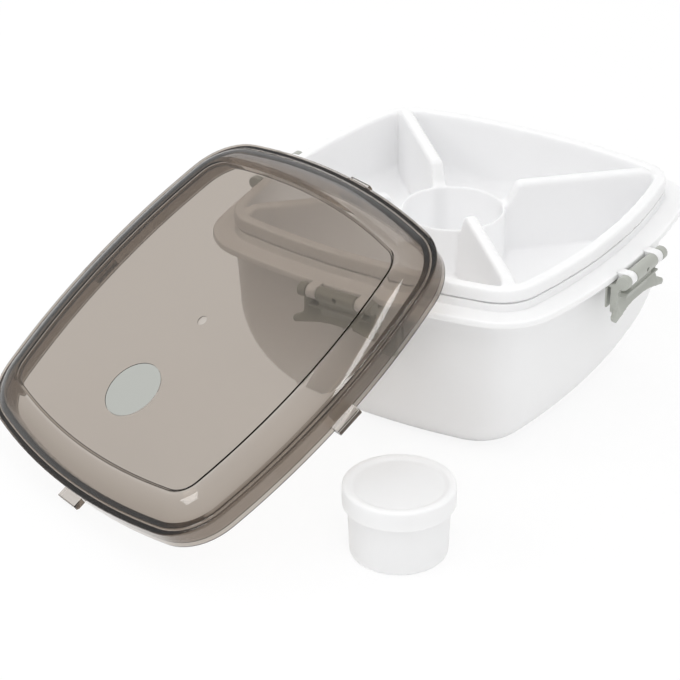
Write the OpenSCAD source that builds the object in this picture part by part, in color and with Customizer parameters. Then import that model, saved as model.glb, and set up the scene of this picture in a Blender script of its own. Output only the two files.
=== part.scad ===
// Square clip-lock lunch box with a divider tray, a leaning lid and a dressing pot.
// Units are millimetres. The origin is the middle of the box's underside, +Z is up,
// -Y is the front. The lid is off and leans over the front left corner of the box.

/* [Box plan] */
// Half of the width across the flange, at the middle of a side
flange_half = 100; // [90:1:120]
// Radius of the bow of each side, at the flange
side_bow_r = 334; // [280:1:600]
// Radius of the flange's corners
flange_corner_r = 32; // [28:1:40]
// How far the tray's rim lies inside the flange's edge
rim_inset = 10.5; // [9:0.5:14]

/* [Box heights] */
// Height of the tray's rim above the table
rim_h = 98.5; // [85:0.5:125]
// Depth of the flange's top below the tray's rim
ledge_drop = 11.1; // [10.5:0.1:14]
// Thickness of the flange
flange_t = 3.5; // [2.5:0.1:4]

/* [Bowl] */
// Thickness of the bowl's wall and floor
bowl_wall = 1.8; // [1.2:0.1:2.2]
// Half width of the flat underside
bottom_half = 62.6; // [50:0.2:72]
// Height at which the wall stops curving and runs up
curve_h = 53.6; // [45:0.2:58]
// Draft of the upper wall, from the curve to the flange
upper_draft = 1.7; // [0.5:0.1:3]
// Corner radius of the bowl
bowl_corner_r = 21; // [18:0.5:26]
// Thickness of the upstand that the tray hooks over
upstand_t = 1.7; // [1.2:0.1:2.2]

/* [Tray] */
// Thickness of the tray's walls
tray_wall = 1.5; // [1:0.1:2]
// Depth of the tray from its rim to its underside
tray_depth = 34.5; // [28:0.5:45]
// Draft of the tray's side walls
tray_draft = 3; // [1:0.5:6]
// Rounding between the tray's wall and floor
tray_round = 8; // [5:0.5:12]
// Height of the rim's outer lip
lip_h = 7; // [4:0.5:9]
// Thickness of the rim's lip and top
lip_t = 1.6; // [1.2:0.1:2]
// Clearance between the lip and the upstand
lip_gap = 0.3; // [0.2:0.05:0.5]
// Clearance between the tray's wall and the upstand
tray_gap = 0.5; // [0.3:0.1:1]
// Thickness of a divider at its crest
divider_t = 6.4; // [5:0.2:8]
// How much each side of a divider spreads down to the floor
divider_draft = 1.3; // [0.6:0.1:1.8]
// Wall of the hollow dividers
divider_wall = 1.5; // [1:0.1:1.8]
// How far the dividers stand above the rim
divider_rise = 2.5; // [0:0.5:3.5]
// Length over which a divider rises from the cup
divider_slope = 8; // [5:0.5:14]

/* [Cup] */
// Clearance between the pot's body and the cup
cup_gap = 0.9; // [0.4:0.1:2]
// Thickness of the cup's wall
cup_wall = 1.3; // [1:0.1:2]

/* [Lid] */
// Thickness of the lid's walls
lid_wall = 1.8; // [1.2:0.1:2.2]
// Height of the lid's flange above the skirt's foot
lid_flange_h = 12; // [10:0.5:15]
// Height of the lid's panel above the skirt's foot
lid_panel_h = 19.6; // [17.5:0.2:26]
// Width of the flat flange around the dome
lid_flange_w = 3.2; // [2.8:0.1:4.5]
// Angle, on its arc, at which the shoulder leaves the flange
shoulder_from = 35; // [20:1:50]
// Thickness of the lid's two skirts
skirt_t = 1.8; // [1.4:0.1:2.2]
// Distance from the flange's edge to the inner face of the inner skirt
inner_skirt_inset = 6.6; // [6.2:0.1:9]
// Distance from the flange's edge to the flat panel
lid_panel_inset = 18.2; // [15:0.2:21]
// How far the outer skirt is set back from the flange's edge
skirt_setback = 1; // [0.5:0.1:1.5]
// How far the inner skirt stops above the outer skirt's foot
inner_skirt_lift = 0.5; // [0.3:0.1:2]
// Width of a catch tab
tab_w = 14; // [10:1:20]
// How far a catch tab stands out past the flange's edge
tab_out = 4.2; // [3.6:0.1:4.6]
// Height of a catch tab
tab_h = 3.5; // [2.5:0.1:5]
// Bevel under a catch tab
tab_bevel = 1.2; // [0.6:0.1:1.6]
// Height of the step between the shoulder and the panel
panel_step = 1; // [0.3:0.1:1.2]
// Diameter of the plain disc in the panel
disc_d = 30; // [15:1:40]
// Thickness of the disc
disc_t = 0.8; // [0.5:0.1:1]
// Distance of the disc from the middle of the lid
disc_at = 46; // [30:1:55]
// Gap round the disc
disc_gap = 0.05; // [0.02:0.01:0.1]

/* [Leaning lid] */
// Tilt of the lid from level
lean_tilt = 32.7; // [29:0.1:35]
// Turn of the tilted lid about the upright
lean_turn = 70.9; // [68:0.1:74]
// Small roll of the lid about its own length
lean_roll = -2.1; // [-4:0.1:0]
// Where the tray's corner touches the panel, across the lid
lean_touch = 29; // [24:0.5:36]
// Clearance left at the touching corner
lean_gap = 0.3; // [0.2:0.1:0.6]

/* [Clips] */
// Distance of the hinge axis outside the flange's edge
axle_out = 4.4; // [4.3:0.1:5.5]
// Depth of the hinge axis below the flange's top
axle_drop = 2.9; // [2:0.1:3.5]
// Diameter of the clip's bar
bar_d = 3; // [2.4:0.1:3.4]
// Diametral clearance of the bar in its hook
bar_fit = 0.15; // [0.05:0.01:0.2]
// Wall of the hook around the bar
hook_wall = 1.65; // [1.2:0.05:1.8]
// Width of a hook
hook_w = 5; // [4:0.5:7]
// Distance of each hook from the middle of its side
hook_at = 13.5; // [11:0.5:14.5]
// Opening through which the bar snaps into its hook
snap_w = 2.2; // [1.6:0.1:2.6]
// Clearance between a hook and the clip
hook_gap = 0.4; // [0.3:0.05:0.8]
// Half width of the clip's plate
clip_half = 20.5; // [19:0.5:24]
// Half width across the wings at the clip's foot
wing_half = 25.5; // [22:0.5:29]
// Radius of the clip's knuckles
knuckle_r = 3.4; // [3.2:0.1:3.8]
// Length of the clip below its axis
clip_drop = 19; // [17.5:0.5:22]
// Distance from the axis back to the plate's inner face
plate_back = 5; // [4.6:0.1:5.4]
// Thickness of the clip's plate
plate_t = 1.8; // [1.2:0.1:2.2]
// Height of the catch ridge's foot from the axis
catch_at = 6.9; // [6.6:0.1:8]
// How far the catch ridge reaches past the axis
catch_out = 1.1; // [0.8:0.1:1.6]
// Length of the catch ridge
catch_w = 32; // [24:1:36]
// Distance from the lip's edge back to the axis
lip_back = 0.4; // [0.2:0.1:1.5]
// Depth of the finger scoop between the wings
scoop = 3.6; // [2:0.1:4.2]
// Distance of the clip's cover behind its plate
cover_back = 3.2; // [2.6:0.1:3.6]
// Thickness of the clip's cover
cover_t = 1.2; // [0.8:0.1:1.4]
// Length of the clip's cover
cover_drop = 15; // [10:0.5:16]
// Width of the small square pocket in the clip's face
pocket = 2.2; // [1.5:0.1:2.6]

/* [Dressing pot] */
// Radius of the pot's body at its mouth
pot_r = 23.6; // [20:0.2:28]
// Radius of the pot's body at its foot
pot_foot_r = 22.4; // [19:0.2:26]
// Height of the pot with its lid on
pot_h = 34; // [28:0.5:40]
// Wall of the pot and of its lid
pot_wall = 1.3; // [1:0.1:1.8]
// Height of the pot's lid
pot_lid_h = 8.5; // [7:0.5:11]
// Clearance between the pot and its lid
pot_lid_gap = 0.2; // [0.15:0.05:0.4]
// Depth of the dish in the pot's lid
pot_dish = 1.2; // [0.5:0.1:2]
// Distance of the pot to the right of the middle
pot_right = 67; // [60:1:80]
// Distance of the pot ahead of the flange
pot_ahead = 58.6; // [50:0.2:75]

/* [Hidden] */
$fn = 64;
overlap = 0.5;

// Segments in each side's bow and in each corner of the plan.
plan_steps = 8;

// Heights, worked out from the rim down.
ledge_z = rim_h - ledge_drop;
flange_z = ledge_z - flange_t;
rim_under_z = rim_h - lip_t;
lip_foot_z = rim_h - lip_h;

// Insets from the flange's edge, worked out from the rim inwards.
upstand_inset = rim_inset + lip_t + lip_gap;
tray_inset = upstand_inset + upstand_t + tray_gap;
step_inset = rim_inset + 0.2;
rim_inner_inset = tray_inset + tray_wall;
upper_half = flange_half - step_inset - upper_draft;

// Heights in the tray.
tray_z = rim_h - tray_depth;
tray_floor_z = tray_z + tray_wall;
divider_z = rim_h + divider_rise;

// The cup takes the pot's body up to the foot of the pot's lid.
cup_r = pot_r + cup_gap;
cup_out_r = cup_r + cup_wall;
cup_rim_z = tray_floor_z + pot_h - pot_lid_h - 0.8;

// The lid's own heights and insets.
dome_inset = lid_flange_w;
tab_reach = flange_half + tab_out;
tab_toe = tab_reach - tab_bevel;

// Hinge axis of the front clip.
axle_y = flange_half + axle_out;
axle_z = ledge_z - axle_drop;
hook_r = bar_d / 2 + hook_wall;
plate_in = -plate_back;
plate_out = plate_in + plate_t;
notch_r = max(hook_r, knuckle_r) + hook_gap;
centre_half = hook_at - hook_w / 2 - hook_gap;

// Centre of a corner arc that is tangent to two bowed sides.
function corner_centre(w, bow, r) = let (k = w - bow, q = bow - r)
    (2 * k + sqrt(4 * k * k - 8 * (k * k - q * q))) / 4;

// Farthest reach of a corner from the middle.
function corner_reach(w, bow, r) = corner_centre(w, bow, r) * sqrt(2) + r;

// Outline of a square with bowed sides and round corners.
function outline(w, bow, r) = let (k = w - bow, c = corner_centre(w, bow, r),
    t = atan2(c, c - k), n = plan_steps)
    [for (side = [0:3]) each [for (p = concat(
        [for (i = [0:n]) let (a = -t + 2 * t * i / n) [k + bow * cos(a), bow * sin(a)]],
        [for (i = [1:n - 1]) let (a = t + (90 - 2 * t) * i / n)
            [c + r * cos(a), c + r * sin(a)]]))
        [p.x * cos(90 * side) - p.y * sin(90 * side),
         p.x * sin(90 * side) + p.y * cos(90 * side)]]];

// Outline that runs a constant distance inside the flange's edge.
module plan(inset) {
    polygon(outline(flange_half - inset, side_bow_r - inset, flange_corner_r - inset));
}

// Ring between two insets.
module ring(outer_inset, inner_inset, z, h) {
    translate([0, 0, z])
        linear_extrude(h) {
            difference() {
                plan(outer_inset);
                plan(inner_inset);
            }
        }
}

// Outline of a half width and corner radius, raised to a height.
function loop(w, r, z) = [for (p = outline(w, side_bow_r - flange_half + w, r)) [p.x, p.y, z]];

// Closed skin over outlines of equal length, listed from the bottom up.
module skin(loops) {
    n = len(loops[0]);
    m = len(loops);
    polyhedron(
        points = [for (loop = loops) each loop],
        faces = concat([[for (i = [0:n - 1]) i]],
            [for (j = [0:m - 2]) for (i = [0:n - 1]) let (k = (i + 1) % n, b = j * n)
                each [[b + i, b + n + i, b + n + k], [b + i, b + n + k, b + k]]],
            [[for (i = [n - 1:-1:0]) (m - 1) * n + i]]));
}

// ---------- Bowl ----------

// Radius and centre of the wall's curve, tangent to the upright at curve_h.
curve_in = upper_half - bottom_half;
curve_r = (curve_in * curve_in + curve_h * curve_h) / (2 * curve_in);

// Solid of the bowl, drawn in by a wall thickness.
module bowl_solid(wall, top_z) {
    steps = 7;
    r = curve_r - wall;
    corner = bowl_corner_r - wall;
    end = asin((curve_h - wall) / r);
    skin(concat(
        [for (i = [steps:-1:0]) let (a = end * i / steps)
            loop(upper_half - curve_r + r * cos(a), corner, curve_h - r * sin(a))],
        [loop(flange_half - step_inset - wall, corner, top_z)]));
}

// Profile of a hook, drawn with the hinge axis at the origin.
module hook_profile() {
    difference() {
        union() {
            circle(r = hook_r);
            translate([-axle_out - 2, -hook_r * 0.2])
                square([axle_out + 2, hook_r * 1.2]);
        }
        circle(d = bar_d + bar_fit);
        rotate([0, 0, -125])
            translate([0, -snap_w / 2]) square([hook_r + 1, snap_w]);
    }
}

// Extrudes a profile of (outward, up) along the width of the front side.
module across(width, at = 0) {
    translate([at, 0, 0])
        rotate([90, 0, -90])
            linear_extrude(width, center = true) children();
}

// Places a shape drawn at the front hinge axis on one side of the box.
module on_side(side) {
    rotate([0, 0, 90 * side])
        translate([0, -axle_y, axle_z]) children();
}

module base_bowl() {
    color([0.95, 0.95, 0.94]) {
        difference() {
            union() {
                bowl_solid(0, flange_z + overlap);
                ring(0, step_inset + 1, flange_z, flange_t);
                translate([0, 0, flange_z])
                    linear_extrude(lip_foot_z - 0.3 - flange_z) plan(step_inset);
                translate([0, 0, flange_z])
                    linear_extrude(rim_under_z - flange_z) plan(upstand_inset);
            }
            bowl_solid(bowl_wall, flange_z - bowl_wall);
            translate([0, 0, flange_z - bowl_wall - overlap])
                linear_extrude(ledge_drop + flange_t + 5) plan(upstand_inset + upstand_t);
        }
        for (side = [0:3])
            on_side(side)
                for (at = [-hook_at, hook_at]) across(hook_w, at) hook_profile();
    }
}

// ---------- Divider tray ----------

// Solid of the tray, drawn in by a wall thickness.
module tray_solid(wall, top_z) {
    steps = 4;
    top_w = flange_half - tray_inset - wall;
    r = tray_round - wall;
    corner = flange_corner_r - tray_inset - wall + 2;
    skin(concat(
        [for (i = [steps:-1:0]) let (a = 90 * i / steps)
            loop(top_w - tray_draft - r + r * cos(a), corner, tray_z + tray_round - r * sin(a))],
        [loop(top_w, corner, top_z)]));
}

// Height of a divider's top at a distance from the cup.
function crest(t) = cup_rim_z + (divider_z - cup_rim_z) * (1 - cos(180 * t)) / 2;

// Where a divider's crest starts to rise, and how far it reaches at the top and at the floor.
slope_start = cup_out_r + 0.5;
reach_top = corner_reach(flange_half - rim_inner_inset, side_bow_r - rim_inner_inset,
    flange_corner_r - rim_inner_inset + 2) + tray_wall * 0.6;
reach_low = corner_reach(flange_half - rim_inner_inset - tray_draft,
    side_bow_r - rim_inner_inset - tray_draft, flange_corner_r - rim_inner_inset + 2)
    + tray_wall * 0.4;

// Section across a divider, drawn in by a wall thickness.
module divider_section(wall, foot_z) {
    half = divider_t / 2 - wall;
    top_z = divider_z - wall;
    bend = min(1.6, half * 0.6);
    low = half + divider_draft;
    polygon([[-low, foot_z], [low, foot_z], [half, top_z - bend],
        [half - bend * 0.3, top_z - bend * 0.3], [half - bend, top_z],
        [bend - half, top_z], [bend * 0.3 - half, top_z - bend * 0.3], [-half, top_z - bend]]);
}

// Part of a divider's section that lies within an elevation, drawn along +X.
module divider_body(wall, foot_z) {
    intersection() {
        rotate([90, 0, 90]) linear_extrude(flange_half * 1.3) divider_section(wall, foot_z);
        rotate([90, 0, 0]) linear_extrude(4 * divider_t, center = true) children();
    }
}

// Divider from the cup to a corner, drawn along +X.
module divider() {
    slope_steps = 8;
    divider_body(0, tray_z + tray_wall * 0.5)
        polygon(concat(
            [[cup_r + cup_wall * 0.5, tray_floor_z - tray_wall * 0.5],
             [cup_r + cup_wall * 0.5, cup_rim_z]],
            [for (i = [0:slope_steps])
                [slope_start + divider_slope * i / slope_steps, crest(i / slope_steps)]],
            [[reach_top - 5, divider_z],
             [reach_top, rim_h - lip_t * 0.5],
             [reach_top, rim_under_z],
             [reach_low, tray_z + tray_round],
             [reach_low - tray_round * 0.5, tray_floor_z + 1],
             [reach_low - tray_round, tray_floor_z - tray_wall * 0.5]]));
}

// Hollow of a divider, open to the underside of the tray.
module divider_hollow() {
    divider_body(divider_wall, tray_z - 1)
        polygon([[cup_out_r + divider_wall, tray_z - 1],
            [cup_out_r + divider_wall, cup_rim_z - divider_wall - 1],
            [slope_start + divider_slope + divider_wall, divider_z - divider_wall],
            [reach_top - 7, divider_z - divider_wall],
            [reach_low - tray_round - 2, tray_z - 1]]);
}

module divider_tray() {
    color([0.97, 0.97, 0.96])
        difference() {
            union() {
                difference() {
                    tray_solid(0, rim_h - lip_t * 0.5);
                    tray_solid(tray_wall, rim_h + 1);
                }
                ring(rim_inset, rim_inner_inset, rim_under_z, lip_t);
                ring(rim_inset, rim_inset + lip_t, lip_foot_z, lip_h);
                for (corner = [0:3])
                    rotate([0, 0, 45 + 90 * corner]) divider();
                translate([0, 0, tray_z + tray_wall * 0.5])
                    cylinder(h = cup_rim_z - tray_z - tray_wall * 0.5, r = cup_out_r);
            }
            translate([0, 0, tray_floor_z])
                cylinder(h = pot_h, r = cup_r);
            for (corner = [0:3])
                rotate([0, 0, 45 + 90 * corner]) divider_hollow();
        }
}

// ---------- Lid ----------

// Height at which the shoulder meets the panel's edge.
shoulder_h = lid_panel_h - panel_step;

// The shoulder follows an arc; how far in and up it is at an angle, from 0 to 1.
function shoulder_in(a) = 1 - cos(a) / cos(shoulder_from);
function shoulder_up(a) = (sin(a) - sin(shoulder_from)) / (1 - sin(shoulder_from));

// Solid of the lid's dome, drawn in by a wall thickness.
module dome_solid(wall, foot_z) {
    steps = 5;
    rise = shoulder_h - lid_flange_h;
    run = lid_panel_inset - dome_inset - wall * 0.4;
    foot_in = dome_inset + wall;
    skin(concat([loop(flange_half - foot_in, flange_corner_r - foot_in, foot_z)],
        [for (i = [0:steps]) let (a = shoulder_from + (90 - shoulder_from) * i / steps,
            inset = foot_in + run * shoulder_in(a))
            loop(flange_half - inset, flange_corner_r - inset,
                lid_flange_h - wall + rise * shoulder_up(a))]));
}

// Catch tab on the front side of the lid.
module catch_tab() {
    root = flange_half - skirt_setback - lid_wall / 2;
    across(tab_w)
        polygon([[root, 0], [tab_toe, 0], [tab_reach, tab_bevel * 0.6], [tab_reach, tab_h],
            [root, tab_h]]);
}

// Height of the dome's outer face at an inset from the flange's edge.
function dome_h(inset) = lid_flange_h + (shoulder_h - lid_flange_h)
    * shoulder_up(acos(cos(shoulder_from)
        * (1 - (inset - dome_inset) / (lid_panel_inset - dome_inset))));

// Lid in its own frame: the skirt's foot at z = 0.
module lid_flat() {
    difference() {
        union() {
            dome_solid(0, lid_flange_h - lid_wall + 0.3);
            ring(0, dome_inset + 1.2, lid_flange_h - lid_wall, lid_wall);
            translate([0, 0, shoulder_h - overlap])
                linear_extrude(panel_step + overlap) plan(lid_panel_inset);
        }
        dome_solid(lid_wall, lid_flange_h - lid_wall - 1);
        translate([0, 0, shoulder_h - lid_wall - overlap])
            linear_extrude(panel_step + overlap) plan(lid_panel_inset + lid_wall * 0.8);
        translate([-disc_at, 0, lid_panel_h - disc_t])
            cylinder(h = disc_t + 1, r = disc_d / 2 + disc_gap);
    }
    ring(skirt_setback, skirt_setback + skirt_t, 0, lid_flange_h - overlap);
    ring(inner_skirt_inset - skirt_t, inner_skirt_inset, inner_skirt_lift,
        dome_h(inner_skirt_inset - skirt_t) - 0.9 - inner_skirt_lift);
    for (side = [0:3])
        rotate([0, 0, 90 * side]) catch_tab();
}

// Rotation of the leaning lid, as three turns about x, y and z.
function turn_x(p, a) = [p.x, p.y * cos(a) - p.z * sin(a), p.y * sin(a) + p.z * cos(a)];
function turn_y(p, a) = [p.x * cos(a) + p.z * sin(a), p.y, p.z * cos(a) - p.x * sin(a)];
function turn_z(p, a) = [p.x * cos(a) - p.y * sin(a), p.x * sin(a) + p.y * cos(a), p.z];
function leaned(p) = turn_z(turn_y(turn_x(p, lean_roll), -lean_tilt), lean_turn);

// The lowest tab stands on the table.
lean_z = -min([for (s = [-1, 1]) for (p = [[tab_toe, 0], [tab_reach, tab_bevel * 0.6]])
    leaned([-p.x, s * tab_w / 2, p.y]).z]);

// The tray's front left corner touches the underside of the panel.
lean_normal = leaned([0, 0, 1]);
lean_side = [lean_normal.x, lean_normal.y] / norm([lean_normal.x, lean_normal.y]);
rim_corner = corner_centre(flange_half - rim_inset, side_bow_r - rim_inset,
    flange_corner_r - rim_inset);
touch_point = [-rim_corner + (flange_corner_r - rim_inset) * lean_side.x,
    -rim_corner + (flange_corner_r - rim_inset) * lean_side.y, rim_h];
touch_z = lid_panel_h - lid_wall - lean_gap;
touch_x = (touch_point.z - lean_z - leaned([0, lean_touch, touch_z]).z) / leaned([1, 0, 0]).z;
lean_centre = touch_point - leaned([touch_x, lean_touch, touch_z]);

// Moves a shape from the lid's own frame to where the lid leans.
module leaning() {
    translate(lean_centre)
        rotate([lean_roll, -lean_tilt, lean_turn]) children();
}

module lid() {
    color([0.45, 0.42, 0.39]) leaning() lid_flat();
}

module lid_disc() {
    color([0.85, 0.86, 0.84])
        leaning()
            translate([-disc_at, 0, lid_panel_h - disc_t]) cylinder(h = disc_t, r = disc_d / 2);
}

// ---------- Clips ----------

// Height of the plate's top, just under the flange.
plate_top = -1.1;

// Elevation of the clip's plate: a waist, two wings and a scoop for a finger.
module plate_outline() {
    waist = clip_half - 1;
    scoop_half = wing_half - 2;
    scoop_r = (scoop_half * scoop_half + scoop * scoop) / (2 * scoop);
    difference() {
        polygon([[-clip_half, plate_top], [-clip_half, -clip_drop * 0.35],
            [-waist, -clip_drop * 0.55], [-clip_half, -clip_drop * 0.72],
            [-wing_half, -clip_drop + 2.6], [-wing_half, -clip_drop + 1.2],
            [-wing_half + 1.2, -clip_drop], [wing_half - 1.2, -clip_drop],
            [wing_half, -clip_drop + 1.2], [wing_half, -clip_drop + 2.6],
            [clip_half, -clip_drop * 0.72], [waist, -clip_drop * 0.55],
            [clip_half, -clip_drop * 0.35], [clip_half, plate_top]]);
        translate([0, -clip_drop + scoop - scoop_r]) circle(r = scoop_r, $fn = 96);
    }
}

// Profile of the plate and of the lip that flares out from it.
module plate_profile() {
    polygon([[plate_in, plate_top], [-2.2, plate_top], [-1.4, -4.4], [plate_out, -6.4],
        [plate_out, -clip_drop * 0.55], [-lip_back, -clip_drop + 1.8], [-lip_back, -clip_drop],
        [-lip_back - plate_t, -clip_drop], [plate_in, -clip_drop * 0.62]]);
}

// Profile of the flat-faced block between the two hooks.
module centre_profile() {
    polygon([[plate_out - 0.5, -3], [-3.1, 1.4], [-2.2, 2.7], [1.7, 2.7], [2.6, 1.8],
        [plate_out + 0.4, -clip_drop * 0.72], [plate_out - 0.5, -clip_drop * 0.72]]);
}

// Profile of the rib at each end of the clip.
module rib_profile() {
    polygon([[plate_in - 1, plate_top], [plate_out + 0.6, plate_top],
        [plate_out + 0.6, -clip_drop * 0.6], [-lip_back - 0.2, -clip_drop + 2.6],
        [-lip_back - 0.2, -clip_drop + 1], [plate_in - 1, -clip_drop + 3]]);
}

// Profile of the ridge that holds a catch tab down.
module catch_profile() {
    polygon([[plate_out - 0.3, -catch_at], [catch_out, -catch_at], [catch_out, -catch_at - 0.7],
        [plate_out - 0.3, -catch_at - 3]]);
}

// Body of a clip without its bar.
module clip_body() {
    web_top = -1.6;
    web_t = 1.6;
    rib_t = 1.5;
    cover_in = plate_in - cover_back - cover_t;
    difference() {
        union() {
            across(2 * clip_half) circle(r = knuckle_r);
            intersection() {
                across(2 * wing_half) plate_profile();
                translate([0, -plate_in + 1, 0])
                    rotate([90, 0, 0])
                        linear_extrude(plate_back + 2) plate_outline();
            }
            across(2 * centre_half) centre_profile();
            across(2 * clip_half)
                translate([cover_in, web_top - web_t]) square([plate_in - cover_in + 1, web_t]);
            across(2 * clip_half - 2)
                translate([cover_in, -cover_drop]) square([cover_t, cover_drop + web_top]);
            for (s = [-1, 1])
                across(rib_t, s * (clip_half - rib_t / 2)) rib_profile();
            across(catch_w) catch_profile();
        }
        for (at = [-hook_at, hook_at])
            across(hook_w + 2 * hook_gap, at) circle(r = notch_r);
    }
}

// A clip in its own frame: hinge axis at the origin, hanging open.
module clip_shape() {
    difference() {
        union() {
            clip_body();
            across(2 * clip_half - 1) circle(d = bar_d);
        }
        translate([-pocket / 2, -4, -pocket / 2]) cube([pocket, 3.8, pocket]);
    }
}

// The clip that belongs to one side of the box.
module clip(side) {
    color([0.69, 0.70, 0.68]) on_side(side) clip_shape();
}

// ---------- Dressing pot ----------

module at_pot() {
    translate([pot_right, -flange_half - pot_ahead, 0]) children();
}

pot_body_h = pot_h - pot_wall;
pot_round = 4;

module dressing_pot() {
    color([0.94, 0.94, 0.93])
        at_pot()
            rotate_extrude()
                polygon(concat(
                    [[0, 0.6], [pot_foot_r - pot_round - 1.5, 0.6], [pot_foot_r - pot_round - 1, 0]],
                    [for (i = [0:6]) let (a = 15 * i)
                        [pot_foot_r - pot_round + pot_round * sin(a), pot_round - pot_round * cos(a)]],
                    [[pot_r, pot_body_h], [pot_r - pot_wall, pot_body_h],
                     [pot_foot_r - pot_wall, pot_round + 1],
                     [pot_foot_r - pot_wall - 1, pot_wall + 1.4],
                     [pot_foot_r - pot_wall - 3, pot_wall + 0.6], [0, pot_wall + 0.6]]));
}

module pot_lid() {
    lid_r = pot_r + pot_lid_gap + pot_wall + 0.6;
    foot_z = pot_h - pot_lid_h;
    edge_r = 1.6;
    color([0.95, 0.95, 0.94])
        at_pot()
            rotate_extrude()
                polygon(concat(
                    [[0, pot_body_h], [pot_r + pot_lid_gap, pot_body_h],
                     [pot_r + pot_lid_gap, foot_z], [lid_r, foot_z]],
                    [for (i = [0:5]) let (a = 18 * i)
                        [lid_r - edge_r + edge_r * cos(a), pot_h + pot_dish - edge_r + edge_r * sin(a)]],
                    [[lid_r - edge_r - 1.2, pot_h + pot_dish], [lid_r - edge_r - 3, pot_h],
                     [0, pot_h]]));
}

base_bowl();
divider_tray();
lid();
lid_disc();
clip(0);  // clip_front
clip(1);  // clip_right
clip(2);  // clip_back
clip(3);  // clip_left
dressing_pot();
pot_lid();
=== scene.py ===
"""Looks of a square clip-lock lunch box with a divider tray, a tinted lid and a dressing pot."""

from math import asin, atan2, cos, pi, radians, sin, sqrt

import bmesh
import bpy
from bpy.props import FloatProperty, PointerProperty, StringProperty
from mathutils import Euler, Matrix, Quaternion, Vector


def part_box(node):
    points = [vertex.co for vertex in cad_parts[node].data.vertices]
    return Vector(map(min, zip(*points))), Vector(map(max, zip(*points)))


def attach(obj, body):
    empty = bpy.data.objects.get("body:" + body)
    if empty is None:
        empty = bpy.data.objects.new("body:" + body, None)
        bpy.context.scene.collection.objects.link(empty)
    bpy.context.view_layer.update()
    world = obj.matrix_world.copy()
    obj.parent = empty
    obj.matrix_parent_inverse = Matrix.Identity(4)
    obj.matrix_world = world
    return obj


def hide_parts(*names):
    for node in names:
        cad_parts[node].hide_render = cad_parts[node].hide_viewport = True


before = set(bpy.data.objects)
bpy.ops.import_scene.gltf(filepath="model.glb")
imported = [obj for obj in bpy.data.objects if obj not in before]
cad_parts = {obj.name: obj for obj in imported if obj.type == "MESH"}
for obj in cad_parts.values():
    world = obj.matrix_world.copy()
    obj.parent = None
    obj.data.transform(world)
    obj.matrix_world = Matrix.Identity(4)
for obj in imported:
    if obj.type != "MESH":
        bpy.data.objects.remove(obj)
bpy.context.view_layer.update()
MM = 0.001

bl_info = {
    "name": "Lunch box",
    "version": (1, 0, 0),
    "blender": (4, 5, 0),
    "location": "3D View > Sidebar > Lunch box",
    "description": "Builds a clip-lock lunch box with its tray, lid, clips and dressing pot",
    "category": "Add Mesh",
}

# Sizes in millimetres that the pieces share with the solids they stand for.
FLANGE_HALF, SIDE_BOW, FLANGE_CORNER = 100.0, 334.0, 32.0
LEDGE_Z, FLANGE_Z = 87.4, 83.9
STEP_HALF, STEP_Z = 89.3, 91.2
UPSTAND_HALF, UPSTAND_Z, UPSTAND_T = 87.6, 96.9, 1.7
BOTTOM_HALF, UPPER_HALF, CURVE_H, BOWL_CORNER = 62.6, 87.6, 53.6, 21.0
BOWL_WALL = 1.8
HINGE_OUT, HINGE_Z, HOOK_AT, HOOK_W, HOOK_R, BORE_R = 104.4, 84.5, 13.5, 5.0, 3.15, 1.575
PANEL_Z, PANEL_INSET, PANEL_STEP, LID_WALL = 19.6, 18.2, 1.5, 1.8
RIM_TOP, RIM_UNDER, SKIRT_T, OUTER_SKIRT, INNER_SKIRT, INNER_LIFT = 12.0, 10.2, 1.8, 1.0, 4.8, 0.5
SHOULDER_INSET, SHOULDER_RISE, SHOULDER_FROM = 3.2, 6.6, radians(35)
TAB_W, DISC_AT, DISC_R, DISC_Z, GATE_AT, GATE_R = 14.0, (-46.0, 0.0), 14.9, 18.85, (-0.4, -3.1), 2.6
POT_AT, POT_H, CAP_R, CAP_TOP = (67.0, -158.6), 32.7, 25.7, 35.2

# How finely the melted mouldings are remeshed, in millimetres, and how often they are smoothed.
TRAY_SMOOTH_STEPS, CLIP_VOXEL, CLIP_SMOOTH_STEPS = 9, 0.4, 3

# How the lid leans: its tilt and roll about its own axes, then its turn about the vertical.
LEAN_TILT, LEAN_ROLL, LEAN_TURN = radians(-32.7), radians(-2.1), radians(70.9)

# The camera: its place in metres, its own axes, and its lens in millimetres on a 36 mm sensor.
SENSOR, LENS = 36.0, 36.0 * 2500 / 680
CAMERA_AT = (0.560375, -0.967157, 0.620917)
CAMERA_AXES = ((0.84052, 0.54175, -0.00521), (-0.25435, 0.40308, 0.87911), (0.47836, -0.73759, 0.47659))


# ---------- Mesh tools ----------

def outline(half, bow, corner, side_steps=16, corner_steps=10):
    """Points of a square with bowed sides and round corners."""
    k, q = half - bow, bow - corner
    c = (2 * k + sqrt(4 * k * k - 8 * (k * k - q * q))) / 4
    t = atan2(c, c - k)
    quarter = [(k + bow * cos(-t + 2 * t * i / side_steps), bow * sin(-t + 2 * t * i / side_steps))
               for i in range(side_steps + 1)]
    for i in range(1, corner_steps):
        a = t + (pi / 2 - 2 * t) * i / corner_steps
        quarter.append((c + corner * cos(a), c + corner * sin(a)))
    return [(x * cos(s * pi / 2) - y * sin(s * pi / 2), x * sin(s * pi / 2) + y * cos(s * pi / 2))
            for s in range(4) for x, y in quarter]


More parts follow.
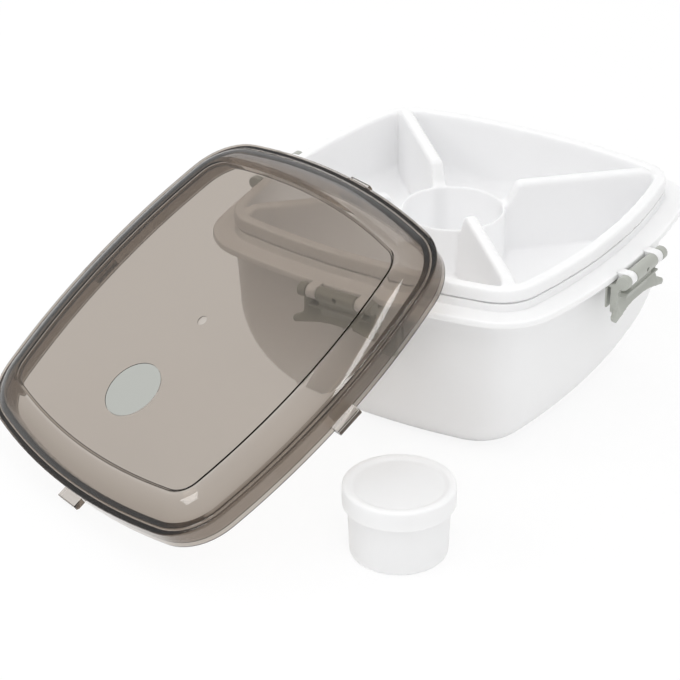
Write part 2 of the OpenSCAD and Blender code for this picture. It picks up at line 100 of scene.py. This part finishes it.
def rounded(points, steps=4):
    """A path of (half, corner, height) with each (…, radius) point rounded off."""
    path = []
    for i, (*here, radius) in enumerate(points):
        here = Vector(here)
        if radius <= 0 or i in (0, len(points) - 1):
            path.append(here)
            continue
        back = Vector(points[i - 1][:3]) - here
        ahead = Vector(points[i + 1][:3]) - here
        flat_back, flat_ahead = Vector((back.x, back.z)), Vector((ahead.x, ahead.z))
        reach = min(radius, flat_back.length * 0.48, flat_ahead.length * 0.48)
        first = here + back * (reach / flat_back.length)
        last = here + ahead * (reach / flat_ahead.length)
        for j in range(steps + 1):
            s = j / steps
            path.append(first * (1 - s) ** 2 + here * 2 * s * (1 - s) + last * s * s)
    return path


def inset_point(inset, z, rounding=0.0):
    """A path's point on an outline that lies an inset within the flange's edge."""
    return (FLANGE_HALF - inset, FLANGE_CORNER - inset, z, rounding)


def arc_path(centre, corner, radius, first, last, steps):
    """Points along an arc in (half, height), each with no rounding of its own."""
    return [(centre[0] + radius * cos(a), corner, centre[1] + radius * sin(a), 0)
            for a in (first + (last - first) * i / steps for i in range(steps + 1))]


def loft(path):
    """A closed mesh through outlines at each (half, corner, height) of a path, capped at both ends."""
    bm = bmesh.new()
    loops = []
    for half, corner, height in path:
        ring = outline(half, SIDE_BOW - FLANGE_HALF + half, max(corner, 0.5))
        loops.append([bm.verts.new((x * MM, y * MM, height * MM)) for x, y in ring])
    n = len(loops[0])
    for low, high in zip(loops, loops[1:]):
        for i in range(n):
            j = (i + 1) % n
            bm.faces.new((low[i], low[j], high[j], high[i]))
    bm.faces.new(reversed(loops[0]))
    bm.faces.new(loops[-1])
    bmesh.ops.recalc_face_normals(bm, faces=bm.faces)
    return bm


def turned(profile, segments=96):
    """A mesh turned about +Z from a profile of (radius, height) that starts and ends on the axis."""
    bm = bmesh.new()
    loops = []
    for radius, height in profile:
        if radius < 1e-6:
            loops.append([bm.verts.new((0, 0, height * MM))])
            continue
        loops.append([bm.verts.new((radius * cos(2 * pi * i / segments) * MM,
                                    radius * sin(2 * pi * i / segments) * MM, height * MM))
                      for i in range(segments)])
    for low, high in zip(loops, loops[1:]):
        for i in range(segments):
            j = (i + 1) % segments
            corners = [low[i % len(low)], low[j % len(low)], high[j % len(high)], high[i % len(high)]]
            corners = list(dict.fromkeys(corners))
            if len(corners) > 2:
                bm.faces.new(corners)
    bmesh.ops.recalc_face_normals(bm, faces=bm.faces)
    return bm


def extruded(points, width, matrix=Matrix()):
    """A plate of a polygon of (x, z) points, as thick as width along y, then placed by a matrix."""
    bm = bmesh.new()
    front = [bm.verts.new((x * MM, -width / 2 * MM, z * MM)) for x, z in points]
    back = [bm.verts.new((x * MM, width / 2 * MM, z * MM)) for x, z in points]
    bm.faces.new(front)
    bm.faces.new(reversed(back))
    n = len(points)
    for i in range(n):
        j = (i + 1) % n
        bm.faces.new((front[i], back[i], back[j], front[j]))
    bmesh.ops.recalc_face_normals(bm, faces=bm.faces)
    bm.transform(matrix)
    return bm


def joined(parts):
    """One mesh out of several."""
    whole = bmesh.new()
    for part in parts:
        mesh = bpy.data.meshes.new("part")
        part.to_mesh(mesh)
        part.free()
        whole.from_mesh(mesh)
        bpy.data.meshes.remove(mesh)
    return whole


def rounded_path(points, steps=4):
    """A path of (radius, height, rounding) points with its corners rounded off."""
    return [(p.x, p.z) for p in rounded([(r, 0, z, rounding) for r, z, rounding in points], steps)]


def placed(name, bm, body, material, node, matrix=Matrix()):
    """Turns a mesh into a named piece that rides on a body and stands for a CAD node."""
    mesh = bpy.data.meshes.new(name)
    bm.transform(matrix)
    bm.to_mesh(mesh)
    bm.free()
    piece = bpy.data.objects.new(name, mesh)
    bpy.context.scene.collection.objects.link(piece)
    mesh.materials.append(material)
    finish_shading(piece, 35)
    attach(piece, body)
    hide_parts(node)
    return piece


def finish_shading(piece, sharp):
    """Smooth shading with hard edges kept above an angle in degrees."""
    mesh = piece.data
    mesh.polygons.foreach_set("use_smooth", [True] * len(mesh.polygons))
    mesh.set_sharp_from_angle(angle=radians(sharp))


def apply_modifiers(piece):
    """Bakes a piece's modifiers into its mesh."""
    depsgraph = bpy.context.evaluated_depsgraph_get()
    mesh = bpy.data.meshes.new_from_object(piece.evaluated_get(depsgraph))
    old = piece.data
    piece.modifiers.clear()
    piece.data = mesh
    mesh.name = old.name
    bpy.data.meshes.remove(old)


def moulded(piece, voxel, smooth_steps):
    """Melts a piece's solids into one moulding with soft edges."""
    remesh = piece.modifiers.new("melt", "REMESH")
    remesh.mode = "VOXEL"
    remesh.voxel_size = voxel * MM
    relax = piece.modifiers.new("soften", "SMOOTH")
    relax.factor = 0.5
    relax.iterations = smooth_steps
    apply_modifiers(piece)
    finish_shading(piece, 180)


# ---------- Materials ----------

def linear(code):
    """Linear RGBA of an sRGB hex colour."""
    channels = [int(code[i:i + 2], 16) / 255 for i in (1, 3, 5)]
    return tuple(c / 12.92 if c <= 0.04045 else ((c + 0.055) / 1.055) ** 2.4
                 for c in channels) + (1.0,)


def add(tree, kind, settings=None, links=None):
    """Adds a node, sets its inputs or properties, and links its inputs."""
    made = tree.nodes.new(kind)
    for key, value in (settings or {}).items():
        if isinstance(key, str) and hasattr(made, key):
            setattr(made, key, value)
        else:
            made.inputs[key].default_value = value
    for key, source in (links or {}).items():
        tree.links.new(source, made.inputs[key])
    return made


def blank(name):
    """A new material with only its output."""
    material = bpy.data.materials.new(name)
    material.use_nodes = True
    tree = material.node_tree
    tree.nodes.clear()
    return material, tree, tree.nodes.new("ShaderNodeOutputMaterial")


def grain(tree, size_mm, strength, depth_mm=0.05):
    """Bump of a fine moulded surface. Its waves are size_mm long."""
    place = add(tree, "ShaderNodeTexCoord")
    noise = add(tree, "ShaderNodeTexNoise", {"Scale": 1000.0 / size_mm, "Detail": 2.0},
                {"Vector": place.outputs["Object"]})
    return add(tree, "ShaderNodeBump", {"Strength": strength, "Distance": depth_mm * MM},
               {"Height": noise.outputs["Fac"]})


def translucent_pp(name, colour, depth_mm):
    """Injection-moulded natural polypropylene: milky, satin, light glows through the walls."""
    material, tree, out = blank(name)
    bump = grain(tree, 1.6, 0.25)
    shader = add(tree, "ShaderNodeBsdfPrincipled",
                 {"Base Color": linear(colour), "Roughness": 0.38, "IOR": 1.49,
                  "Subsurface Weight": 0.8, "Subsurface Radius": (1.0, 1.0, 1.0),
                  "Subsurface Scale": depth_mm * MM},
                 {"Normal": bump.outputs["Normal"]})
    tree.links.new(shader.outputs[0], out.inputs["Surface"])
    return material


def tinted_clear(name, colour, absorb, per_m):
    """Injection-moulded smoke-tinted SAN: clear and glossy, darker where the eye looks along a wall."""
    material, tree, out = blank(name)
    bump = grain(tree, 25.0, 0.05, 0.4)
    shader = add(tree, "ShaderNodeBsdfPrincipled",
                 {"Base Color": linear(colour), "Roughness": 0.04, "IOR": 1.49,
                  "Transmission Weight": 1.0}, {"Normal": bump.outputs["Normal"]})
    # Light that reaches what lies under the lid passes straight through it.
    through = add(tree, "ShaderNodeBsdfTransparent", {"Color": (0.99, 0.98, 0.97, 1.0)})
    ray = add(tree, "ShaderNodeLightPath")
    mix = add(tree, "ShaderNodeMixShader", None,
              {0: ray.outputs["Is Shadow Ray"], 1: shader.outputs[0], 2: through.outputs[0]})
    tree.links.new(mix.outputs[0], out.inputs["Surface"])
    volume = add(tree, "ShaderNodeVolumeAbsorption", {"Color": linear(absorb), "Density": per_m})
    tint = add(tree, "ShaderNodeMixShader", None, {0: ray.outputs["Is Shadow Ray"], 1: volume.outputs[0]})
    tree.links.new(tint.outputs[0], out.inputs["Volume"])
    return material


def moulded_opaque(name, colour, roughness):
    """Injection-moulded grey polypropylene or pale ABS: opaque, satin, with a faint orange peel."""
    material, tree, out = blank(name)
    bump = grain(tree, 1.2, 0.3)
    shader = add(tree, "ShaderNodeBsdfPrincipled",
                 {"Base Color": linear(colour), "Roughness": roughness, "IOR": 1.49},
                 {"Normal": bump.outputs["Normal"]})
    tree.links.new(shader.outputs[0], out.inputs["Surface"])
    return material


def white_ground(name, colour, strength):
    """Matt white paper that shows as white and keeps the shadows."""
    material, tree, out = blank(name)
    paper = add(tree, "ShaderNodeBsdfDiffuse", {"Color": linear(colour)})
    glow = add(tree, "ShaderNodeEmission", {"Color": (1, 1, 1, 1), "Strength": 1.0})
    ray = add(tree, "ShaderNodeLightPath")
    eye = add(tree, "ShaderNodeMath", {"operation": "MAXIMUM"},
              {0: ray.outputs["Is Camera Ray"], 1: ray.outputs["Is Glossy Ray"]})
    eye = add(tree, "ShaderNodeMath", {"operation": "MAXIMUM"},
              {0: eye.outputs[0], 1: ray.outputs["Is Transmission Ray"]})
    share = add(tree, "ShaderNodeMath", {"operation": "MULTIPLY", 1: strength}, {0: eye.outputs[0]})
    mix = add(tree, "ShaderNodeMixShader", None,
              {0: share.outputs[0], 1: paper.outputs[0], 2: glow.outputs[0]})
    tree.links.new(mix.outputs[0], out.inputs["Surface"])
    return material


# ---------- Settings ----------

class BoxLook(bpy.types.PropertyGroup):
    white: StringProperty(name="White plastic", description="Colour of the box, tray and pot",
                          default="#FAFAFB")
    wall_glow: FloatProperty(name="Wall glow", description="How far light runs in the white plastic, in mm",
                             default=1.5, min=0.5, max=30.0)
    voxel: FloatProperty(name="Moulding step", description="Finest step of the melted mouldings, in mm",
                         default=0.8, min=0.4, max=2.0)


class LidLook(bpy.types.PropertyGroup):
    tint: StringProperty(name="Tint", description="Colour the lid lets through", default="#FFFFFF")
    absorb: StringProperty(name="Absorbed tint", description="Colour of the lid's own darkening",
                           default="#A18C70")
    darkening: FloatProperty(name="Darkening", description="Darkening per metre of the lid's plastic",
                             default=560.0, min=0.0, max=2000.0)
    disc: StringProperty(name="Disc", description="Colour of the plain disc", default="#AFB1AC")


class ClipLook(bpy.types.PropertyGroup):
    grey: StringProperty(name="Grey plastic", description="Colour of the clips", default="#B0B2AB")


class StageLook(bpy.types.PropertyGroup):
    lamp_power: FloatProperty(name="Lamp power",
                              description="Power of the left softbox; the one above has 0.6 of it",
                              default=2.4, min=0.0, max=200.0, unit="POWER")
    strip_power: FloatProperty(name="Strip power",
                               description="Power of the long strip; the small box has 0.6 of it",
                               default=2.4, min=0.0, max=50.0, unit="POWER")
    fill: FloatProperty(name="Fill", description="Strength of the even light all round",
                        default=0.78, min=0.0, max=2.0)


def shared(name, make):
    """A material that is made once and shared."""
    return bpy.data.materials.get(name) or make(name)


def white_pp():
    """The white plastic of the box, the tray and the pot."""
    look = bpy.context.scene.lunchbox_box
    return shared("natural_polypropylene_moulded",
                  lambda name: translucent_pp(name, look.white, look.wall_glow))


# ---------- Box ----------

def hook_outline():
    """Section of a hook, as (outward, up) points from the hinge axis."""
    points = []
    for i in range(19):
        a = radians(-104.6 + 194.6 * i / 18)
        points.append((HOOK_R * cos(a), HOOK_R * sin(a)))
    points += [(-HINGE_OUT + FLANGE_HALF - 1.2, HOOK_R), (-HINGE_OUT + FLANGE_HALF - 1.2, -0.63)]
    for i in range(4):
        a = radians(-168.5 + 23.1 * i / 3)
        points.append((HOOK_R * cos(a), HOOK_R * sin(a)))
    for i in range(25):
        a = radians(-169.3 - 271.4 * i / 24)
        points.append((BORE_R * cos(a), BORE_R * sin(a)))
    return points


def side_matrix(side, along=0.0):
    """Places a section drawn in (outward, along, up) from the hinge axis on one side of the box."""
    turn = Matrix.Rotation(side * pi / 2, 4, "Z")
    out = Matrix(((0, 1, 0, 0), (-1, 0, 0, 0), (0, 0, 1, 0), (0, 0, 0, 1)))
    return (turn @ Matrix.Translation((along * MM, -HINGE_OUT * MM, HINGE_Z * MM)) @ out)


class LUNCHBOX_OT_base_bowl(bpy.types.Operator):
    """Outer box with its flange, upstand and hooks"""
    bl_idname = "lunchbox.base_bowl"
    bl_label = "Base bowl"

    def execute(self, context):
        run = UPPER_HALF - BOTTOM_HALF
        curve = (run * run + CURVE_H * CURVE_H) / (2 * run)
        end = asin(CURVE_H / curve)
        inner_corner = BOWL_CORNER - BOWL_WALL
        inner_end = asin((CURVE_H - BOWL_WALL) / (curve - BOWL_WALL))
        outside = [(BOTTOM_HALF - 6, BOWL_CORNER - 6, 0, 0), (BOTTOM_HALF, BOWL_CORNER, 0, 1.6)]
        outside += arc_path((UPPER_HALF - curve, CURVE_H), BOWL_CORNER, curve, -end, 0, 22)[2:]
        outside += [inset_point(FLANGE_HALF - half, z, rounding) for half, z, rounding in (
            (STEP_HALF, FLANGE_Z, 1.2), (FLANGE_HALF, FLANGE_Z, 0.9), (FLANGE_HALF, LEDGE_Z, 0.9),
            (STEP_HALF, LEDGE_Z, 0.6), (STEP_HALF, STEP_Z, 0.5), (UPSTAND_HALF, STEP_Z, 0.4),
            (UPSTAND_HALF, UPSTAND_Z, 0.5), (UPSTAND_HALF - UPSTAND_T, UPSTAND_Z, 0.5),
            (UPSTAND_HALF - UPSTAND_T, LEDGE_Z - 4.5, 3.0))]
        inside = [(UPPER_HALF - BOWL_WALL + 1.3, inner_corner, LEDGE_Z - 11, 3.0)]
        inside += arc_path((UPPER_HALF - curve, CURVE_H), inner_corner, curve - BOWL_WALL,
                           0, -inner_end, 22)
        inside += [(inside[-1][0] - 6, inner_corner - 6, BOWL_WALL, 0)]
        parts = [loft(rounded(outside + inside))]
        for side in range(4):
            for along in (-HOOK_AT, HOOK_AT):
                parts.append(extruded(hook_outline(), HOOK_W, side_matrix(side, along)))
        placed("base_bowl_body", joined(parts), "base", white_pp(), "base_bowl")
        return {"FINISHED"}


# ---------- Tray ----------

class LUNCHBOX_OT_divider_tray(bpy.types.Operator):
    """Lift-out tray with four hollow dividers and a round well"""
    bl_idname = "lunchbox.divider_tray"
    bl_label = "Divider tray"

    def execute(self, context):
        bm = bmesh.new()
        bm.from_mesh(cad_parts["divider_tray"].data)
        piece = placed("divider_tray_moulding", bm, "tray", white_pp(), "divider_tray")
        moulded(piece, context.scene.lunchbox_box.voxel, TRAY_SMOOTH_STEPS)
        return {"FINISHED"}


# ---------- Lid ----------

def leaning():
    """Where the lid leans: its own frame in the row's frame."""
    disc_low, disc_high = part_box("lid_disc")
    turn = Matrix.Rotation(LEAN_TURN, 3, "Z") @ Euler((LEAN_ROLL, LEAN_TILT, 0)).to_matrix()
    disc = (Vector(disc_low) + Vector(disc_high)) / 2
    origin = disc - turn @ (Vector((*DISC_AT, 19.2)) * MM)
    return Matrix.Translation(origin) @ turn.to_4x4()


def on_lid(at):
    """Moves a mesh to a place in the lid's own frame."""
    return Matrix.Translation((at[0] * MM, at[1] * MM, 0))


def shoulder(foot, start, wall, steps=12):
    """Section of the lid's shoulder from its foot up, drawn in by a wall."""
    run = PANEL_INSET - SHOULDER_INSET - wall * 0.4
    points = []
    for i in range(steps + 1):
        a = SHOULDER_FROM + (pi / 2 - SHOULDER_FROM) * i / steps
        inset = start + run * (1 - cos(a) / cos(SHOULDER_FROM))
        rise = SHOULDER_RISE * (sin(a) - sin(SHOULDER_FROM)) / (1 - sin(SHOULDER_FROM))
        points.append(inset_point(inset, foot + rise))
    return points


def cut(piece, bm, at):
    """Takes a turned mesh, moved to a place on the lid, away from a piece."""
    mesh = bpy.data.meshes.new("cutter")
    bm.to_mesh(mesh)
    bm.free()
    tool = bpy.data.objects.new("cutter", mesh)
    bpy.context.scene.collection.objects.link(tool)
    mesh.transform(on_lid(at))
    change = piece.modifiers.new("cut", "BOOLEAN")
    change.operation, change.solver, change.object = "DIFFERENCE", "MANIFOLD", tool
    apply_modifiers(piece)
    bpy.data.objects.remove(tool)


class LUNCHBOX_OT_lid(bpy.types.Operator):
    """Tinted domed lid with its two skirts and catch tabs"""
    bl_idname = "lunchbox.lid"
    bl_label = "Lid"

    def execute(self, context):
        look = context.scene.lunchbox_lid
        under = PANEL_Z - LID_WALL
        path = [(20.6, PANEL_Z), (PANEL_INSET + 0.2, PANEL_Z, 0.15),
                (PANEL_INSET, PANEL_Z - PANEL_STEP, 0.1)]
        rim = [(SHOULDER_INSET, RIM_TOP, 1.5), (0, RIM_TOP, 0.9), (0, RIM_UNDER, 0.6),
               (OUTER_SKIRT, RIM_UNDER, 0.2), (OUTER_SKIRT, 0, 0.6), (OUTER_SKIRT + SKIRT_T, 0, 0.6),
               (OUTER_SKIRT + SKIRT_T, RIM_UNDER, 0.4), (INNER_SKIRT, RIM_UNDER, 0.4),
               (INNER_SKIRT, INNER_LIFT, 0.6), (INNER_SKIRT + SKIRT_T, INNER_LIFT, 0.6),
               (INNER_SKIRT + SKIRT_T, 11.7, 0.4)]
        last = [(19.5, under - 0.96, 0.1), (19.65, under, 0.1), (20.6, under)]
        outer = shoulder(RIM_TOP, SHOULDER_INSET, 0)[-2:0:-1]
        inner = shoulder(RIM_UNDER, SHOULDER_INSET + LID_WALL, LID_WALL)
        whole = [inset_point(*p) for p in path] + outer + [inset_point(*p) for p in rim]
        whole += [p for p in inner if p[0] < FLANGE_HALF - 7.2] + [inset_point(*p) for p in last]
        smoke = shared("smoke_tinted_san_moulded", lambda name: tinted_clear(
            name, look.tint, look.absorb, look.darkening))
        lid = placed("lid_shell", loft(rounded(whole, 3)), "lid_assembly", smoke, "lid")
        # The tabs are thin at heart and let more light through than the solid wedge would.
        pale_smoke = shared("smoke_tinted_san_tabs", lambda name: tinted_clear(
            name, look.tint, look.absorb, look.darkening * 0.3))
        tab = [(99.0, 0), (103.0, 0), (104.2, 0.72), (104.2, 3.2), (103.9, 3.5), (99.0, 3.5)]
        tabs = [extruded(tab, TAB_W, Matrix.Rotation(side * pi / 2, 4, "Z")) for side in range(4)]
        placed("lid_catch_tabs", joined(tabs), "lid_assembly", pale_smoke, "lid",
               leaning())
        bed, above = DISC_Z - 0.05, PANEL_Z + 1.4
        cut(lid, turned([(0, bed), (DISC_R + 0.15, bed), (DISC_R + 0.15, above), (0, above)]), DISC_AT)
        # The small round mark that the mould's gate leaves near the middle.
        cut(lid, turned(rounded_path([(0, 19.1, 0), (1.5, 19.1, 0.3), (GATE_R, 19.35, 0.1),
                                      (GATE_R, 20.5, 0), (0, 20.5, 0)]), 32), GATE_AT)
        lid.data.transform(leaning())
        finish_shading(lid, 40)
        return {"FINISHED"}


class LUNCHBOX_OT_lid_disc(bpy.types.Operator):
    """Plain disc set into the lid's panel"""
    bl_idname = "lunchbox.lid_disc"
    bl_label = "Lid disc"

    def execute(self, context):
        top = DISC_Z + 0.7
        disc = turned(rounded_path([(0, DISC_Z, 0), (DISC_R, DISC_Z, 0.1), (DISC_R, top, 0.3),
                                    (0, top, 0)]))
        pale = shared("off_white_abs_moulded", lambda name: moulded_opaque(
            name, context.scene.lunchbox_lid.disc, 0.45))
        placed("lid_plain_disc", disc, "lid_assembly", pale, "lid_disc",
               leaning() @ on_lid(DISC_AT))
        return {"FINISHED"}


# ---------- Clips ----------

class LUNCHBOX_OT_clips(bpy.types.Operator):
    """Four clips with soft moulded edges"""
    bl_idname = "lunchbox.clips"
    bl_label = "Clips"

    def execute(self, context):
        grey = shared("grey_polypropylene_moulded", lambda name: moulded_opaque(
            name, context.scene.lunchbox_clip.grey, 0.36))
        for side in ("front", "right", "back", "left"):
            bm = bmesh.new()
            bm.from_mesh(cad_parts["clip_" + side].data)
            piece = placed("clip_" + side + "_moulding", bm, side + "_clip", grey,
                           "clip_" + side)
            moulded(piece, CLIP_VOXEL, CLIP_SMOOTH_STEPS)
        return {"FINISHED"}


# ---------- Dressing pot ----------

class LUNCHBOX_OT_pot(bpy.types.Operator):
    """Round dressing pot and its push-on lid"""
    bl_idname = "lunchbox.pot"
    bl_label = "Dressing pot"

    def execute(self, context):
        place = Matrix.Translation((POT_AT[0] * MM, POT_AT[1] * MM, 0))
        body = rounded_path([
            (0, 0.6, 0), (16.6, 0.6, 0.2), (17.2, 0, 0.3), (22.4, 0, 4.2), (23.6, POT_H, 0.5),
            (22.3, POT_H, 0.5), (21.1, 5.0, 0), (21.0, 1.9, 3.2), (0, 1.9, 0)], 8)
        placed("dressing_pot_body", turned(body, 128), "pot", white_pp(), "dressing_pot",
               place)
        top = rounded_path([
            (0, 32.75, 0), (23.8, 32.75, 0.2), (23.8, 25.5, 0.4), (CAP_R, 25.5, 0.6),
            (CAP_R, CAP_TOP, 2.2), (22.6, CAP_TOP, 1.2), (20.8, 34.05, 1.6), (0, 34.05, 0)], 8)
        placed("pot_lid_cap", turned(top, 128), "pot_top", white_pp(), "pot_lid",
               place)
        return {"FINISHED"}


# ---------- Stage ----------

class LUNCHBOX_OT_stage(bpy.types.Operator):
    """White paper floor, soft lights and the camera"""
    bl_idname = "lunchbox.stage"
    bl_label = "Stage"

    def execute(self, context):
        scene = context.scene
        look = scene.lunchbox_stage
        bm = bmesh.new()
        bmesh.ops.create_grid(bm, x_segments=1, y_segments=1, size=6.0)
        mesh = bpy.data.meshes.new("ground")
        bm.to_mesh(mesh)
        bm.free()
        ground = bpy.data.objects.new("ground", mesh)
        scene.collection.objects.link(ground)
        mesh.materials.append(white_ground("white_paper", "#FFFFFF", 0.85))

        world = bpy.data.worlds.new("studio")
        scene.world = world
        world.use_nodes = True
        tree = world.node_tree
        tree.nodes.clear()
        out = tree.nodes.new("ShaderNodeOutputWorld")
        even = add(tree, "ShaderNodeBackground", {"Strength": look.fill})
        shown = add(tree, "ShaderNodeBackground", {"Strength": 1.0})
        for node in (even, shown):
            node.inputs["Color"].default_value = (1, 1, 1, 1)
        ray = add(tree, "ShaderNodeLightPath")
        eye = add(tree, "ShaderNodeMath", {"operation": "MAXIMUM"},
                  {0: ray.outputs["Is Camera Ray"], 1: ray.outputs["Is Transmission Ray"]})
        mix = add(tree, "ShaderNodeMixShader", None,
                  {0: eye.outputs[0], 1: even.outputs[0], 2: shown.outputs[0]})
        tree.links.new(mix.outputs[0], out.inputs["Surface"])

        # Name, watts, size, place and aim in metres, and roll in degrees. The strip lies along the
        # lid's right shoulder, and the small box gives the spot on its near corner.
        for name, power, size, at, aim, roll in (
                ("softbox_above", look.lamp_power * 0.6, (1.6, 1.6), (0.1, 0, 1.15), (0, -0.05, 0.05), 0),
                ("softbox_left", look.lamp_power, (0.8, 0.8), (-1.0, 0.9, 1.1), (0, -0.05, 0.1), 0),
                ("strip_above", look.strip_power, (1.1, 0.08), (0.3, -0.49, 1.1), (0, -0.2, 0.08), -69),
                ("small_box", look.strip_power * 0.6, (0.4, 0.22), (-0.7, -0.74, 0.88),
                 (0, -0.2, 0.08), 0)):
            lamp = bpy.data.lights.new(name, "AREA")
            lamp.energy, lamp.shape = power, "RECTANGLE"
            lamp.size, lamp.size_y = size
            light = bpy.data.objects.new(name, lamp)
            light.location = at
            facing = (Vector(aim) - Vector(at)).to_track_quat("-Z", "Y")
            light.rotation_euler = (facing @ Quaternion((0, 0, 1), radians(roll))).to_euler()
            scene.collection.objects.link(light)

        lens = bpy.data.cameras.new("camera")
        lens.sensor_width, lens.lens = SENSOR, LENS
        lens.clip_start, lens.clip_end = 0.05, 20.0
        camera = bpy.data.objects.new("camera", lens)
        turn = Matrix(CAMERA_AXES).transposed().to_4x4()
        camera.matrix_world = Matrix.Translation(CAMERA_AT) @ turn
        scene.collection.objects.link(camera)
        scene.camera = camera
        scene.view_settings.view_transform = "Standard"
        return {"FINISHED"}


# ---------- Panel and main ----------

OPERATORS = (LUNCHBOX_OT_base_bowl, LUNCHBOX_OT_divider_tray, LUNCHBOX_OT_lid,
             LUNCHBOX_OT_lid_disc, LUNCHBOX_OT_clips, LUNCHBOX_OT_pot, LUNCHBOX_OT_stage)
LOOKS = {"lunchbox_box": BoxLook, "lunchbox_lid": LidLook, "lunchbox_clip": ClipLook,
         "lunchbox_stage": StageLook}


class LUNCHBOX_PT_panel(bpy.types.Panel):
    """Sizes, colours and pieces of the lunch box"""
    bl_idname = "LUNCHBOX_PT_panel"
    bl_label = "Lunch box"
    bl_space_type = "VIEW_3D"
    bl_region_type = "UI"
    bl_category = "Lunch box"

    def draw(self, context):
        for name, look in LOOKS.items():
            for key in look.__annotations__:
                self.layout.prop(getattr(context.scene, name), key)
        for kind in OPERATORS:
            self.layout.operator(kind.bl_idname)


def register():
    for kind in (*LOOKS.values(), *OPERATORS, LUNCHBOX_PT_panel):
        bpy.utils.register_class(kind)
    for name, look in LOOKS.items():
        setattr(bpy.types.Scene, name, PointerProperty(type=look))


def unregister():
    for name in LOOKS:
        delattr(bpy.types.Scene, name)
    for kind in (LUNCHBOX_PT_panel, *reversed(OPERATORS), *reversed(LOOKS.values())):
        bpy.utils.unregister_class(kind)


def main():
    register()
    for kind in OPERATORS:
        group, name = kind.bl_idname.split(".")
        getattr(getattr(bpy.ops, group), name)()


if __name__ == "__main__":
    main()
